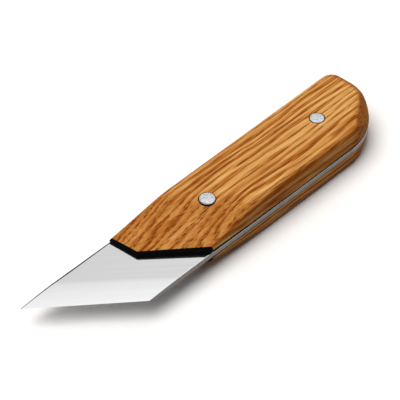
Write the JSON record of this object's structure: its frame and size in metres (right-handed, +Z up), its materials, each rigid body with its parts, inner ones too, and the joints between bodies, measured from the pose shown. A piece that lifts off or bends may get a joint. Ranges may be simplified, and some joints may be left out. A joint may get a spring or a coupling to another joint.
{
  "type": "skew carving knife",
  "caption": "Fixed-blade carving knife lying flat: a steel blade with a slanted cutting edge, its full tang riveted between smooth wooden handle scales with black-sealed front ends.",
  "frame": {"origin": "on the bench, under the middle of the knife's length and width", "axes": "+X along the knife from the tip to the butt, +Y towards the spine, +Z up"},
  "size_m": [0.1632, 0.031, 0.0171],
  "materials": {
    "steel": "surface ground, with fine cross marks on the tang's edges",
    "wood": "oiled and sanded, open-pored",
    "bonding_layer": "cured black adhesive, dull",
    "end_coat": "brushed-on black coat, half gloss",
    "rivet_metal": "sanded with the wood, satin"
  },
  "bodies": {
    "root": {"blade": "steel", "upper_scale": "wood", "lower_scale": "wood", "upper_liner": "bonding_layer", "lower_liner": "bonding_layer", "upper_front_seal": "end_coat", "lower_front_seal": "end_coat", "front_rivet": "rivet_metal", "rear_rivet": "rivet_metal"}
  },
  "joints": []
}
